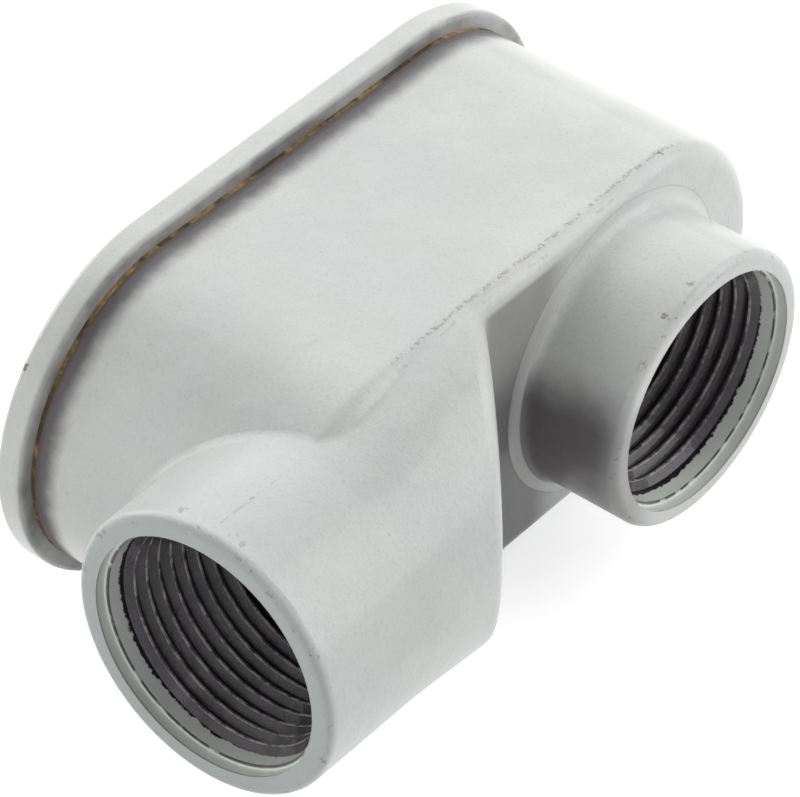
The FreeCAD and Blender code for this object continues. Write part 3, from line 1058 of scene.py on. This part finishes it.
class CONDUIT_OT_build_stage(bpy.types.Operator):
    """Lays the floor and sets the lights and the camera"""
    bl_idname = "conduit.build_stage"
    bl_label = "Build the Stage"

    def execute(self, context):
        scene = context.scene
        look = scene.conduit_stage
        lay_floor(look)
        for light in SOFT_LIGHTS:
            hang_light(look, *light)
        light_sky(scene, look)
        place_camera(scene, look)
        scene.view_settings.view_transform = "Standard"
        return {"FINISHED"}


# ---- stage -------------------------------------------------------------------------

def plainly_seen(tree):
    """1 on rays from the camera, from a gloss and through a clear piece, 0 on the others."""
    path = tree.nodes.new("ShaderNodeLightPath")
    seen = path.outputs["Is Camera Ray"]
    for kind in ("Is Glossy Ray", "Is Transmission Ray"):
        either = tree.nodes.new("ShaderNodeMath")
        either.operation = "MAXIMUM"
        tree.links.new(seen, either.inputs[0])
        tree.links.new(path.outputs[kind], either.inputs[1])
        seen = either.outputs[0]
    return seen


def lay_floor(look):
    """A wide, plain floor that the part lies on."""
    level = Vector(CAD_BOX[0]).z - FLOOR_GAP
    mesh = bpy.data.meshes.new("floor")
    turns = ((-1, -1), (1, -1), (1, 1), (-1, 1))
    points = [(FLOOR_REACH * x, FLOOR_REACH * y, level) for x, y in turns]
    mesh.from_pydata(points, [], [(0, 1, 2, 3)])
    floor = bpy.data.objects.new("floor", mesh)
    bpy.context.scene.collection.objects.link(floor)
    paint = bpy.data.materials.new("floor_paint")
    paint.use_nodes = True
    tree = paint.node_tree
    shader = tree.nodes["Principled BSDF"]
    shader.inputs["Base Color"].default_value = (*look.floor_colour, 1.0)
    shader.inputs["Roughness"].default_value = FLOOR_ROUGHNESS
    shader.inputs["Specular IOR Level"].default_value = FLOOR_SHINE
    shader.inputs["Emission Color"].default_value = (1, 1, 1, 1)
    seen = plainly_seen(tree)
    glow = tree.nodes.new("ShaderNodeMath")
    glow.operation = "MULTIPLY"
    glow.inputs[1].default_value = look.floor_glow
    tree.links.new(seen, glow.inputs[0])
    tree.links.new(glow.outputs[0], shader.inputs["Emission Strength"])
    mesh.materials.append(paint)


def direction(azimuth, elevation):
    """The unit vector at an azimuth, turned from +X towards +Y, and an elevation, both in radians."""
    level = math.cos(elevation)
    return Vector((math.cos(azimuth) * level, math.sin(azimuth) * level, math.sin(elevation)))


def hang_light(look, name, azimuth, elevation, share, width):
    """A round soft light that faces the part."""
    lamp = bpy.data.lights.new(name, "AREA")
    lamp.shape = "DISK"
    lamp.energy = look.light_power * share
    lamp.size = width
    hung = bpy.data.objects.new(name, lamp)
    bpy.context.scene.collection.objects.link(hung)
    away = direction(math.radians(azimuth), math.radians(elevation))
    hung.location = away * look.light_distance
    hung.rotation_euler = (-away).to_track_quat("-Z", "Y").to_euler()


def light_sky(scene, look):
    """An even, pale surround; the camera and the glosses see it white."""
    world = bpy.data.worlds.new("surround")
    world.use_nodes = True
    scene.world = world
    tree = world.node_tree
    background = tree.nodes["Background"]
    strength = tree.nodes.new("ShaderNodeMix")
    strength.data_type = "FLOAT"
    tree.links.new(plainly_seen(tree), strength.inputs[0])
    strength.inputs[2].default_value = look.sky
    strength.inputs[3].default_value = 1.0
    tree.links.new(strength.outputs[0], background.inputs["Strength"])
    background.inputs["Color"].default_value = (1, 1, 1, 1)


def place_camera(scene, look):
    """A long lens that looks down on both hubs."""
    away = direction(look.azimuth, look.elevation)
    lens = bpy.data.cameras.new("camera")
    lens.lens = look.lens
    lens.sensor_width = SENSOR_WIDTH
    lens.clip_end = VIEW_END
    camera = bpy.data.objects.new("camera", lens)
    scene.collection.objects.link(camera)
    camera.location = Vector(look.aim) + away * look.distance
    turn = (-away).to_track_quat("-Z", "Y").to_matrix() @ Matrix.Rotation(look.roll, 3, "Z")
    camera.rotation_euler = turn.to_euler()
    scene.camera = camera


# ---- panel and registration ----------------------------------------------------------

LOOKS = (
    ("conduit_enamel", ConduitEnamelLook),
    ("conduit_iron", ConduitIronLook),
    ("conduit_thread", ConduitThreadSizes),
    ("conduit_gasket", ConduitGasketLook),
    ("conduit_screw", ConduitScrewLook),
    ("conduit_stage", ConduitStageLook),
)
STEPS = (
    CONDUIT_OT_enamel_casting,
    CONDUIT_OT_enamel_cover,
    CONDUIT_OT_fibre_gasket,
    CONDUIT_OT_plate_screws,
    CONDUIT_OT_cut_threads,
    CONDUIT_OT_build_stage,
)


class CONDUIT_PT_finishes(bpy.types.Panel):
    """Lists the steps and their sizes and colours"""
    bl_idname = "CONDUIT_PT_finishes"
    bl_label = "Conduit Body"
    bl_space_type = "VIEW_3D"
    bl_region_type = "UI"
    bl_category = "Conduit Body"

    def draw(self, context):
        for step in STEPS:
            self.layout.operator(step.bl_idname)
        for name, group in LOOKS:
            box = self.layout.box()
            box.label(text=group.__doc__)
            for key in group.__annotations__:
                box.prop(getattr(context.scene, name), key)


def register():
    for name, group in LOOKS:
        bpy.utils.register_class(group)
        setattr(bpy.types.Scene, name, bpy.props.PointerProperty(type=group))
    for step in STEPS:
        bpy.utils.register_class(step)
    bpy.utils.register_class(CONDUIT_PT_finishes)


def unregister():
    bpy.utils.unregister_class(CONDUIT_PT_finishes)
    for step in reversed(STEPS):
        bpy.utils.unregister_class(step)
    for name, group in reversed(LOOKS):
        delattr(bpy.types.Scene, name)
        bpy.utils.unregister_class(group)


def main():
    register()
    bpy.ops.conduit.enamel_casting()
    bpy.ops.conduit.enamel_cover()
    bpy.ops.conduit.fibre_gasket()
    bpy.ops.conduit.plate_screws()
    bpy.ops.conduit.cut_threads()
    bpy.ops.conduit.build_stage()


if __name__ == "__main__":
    main()
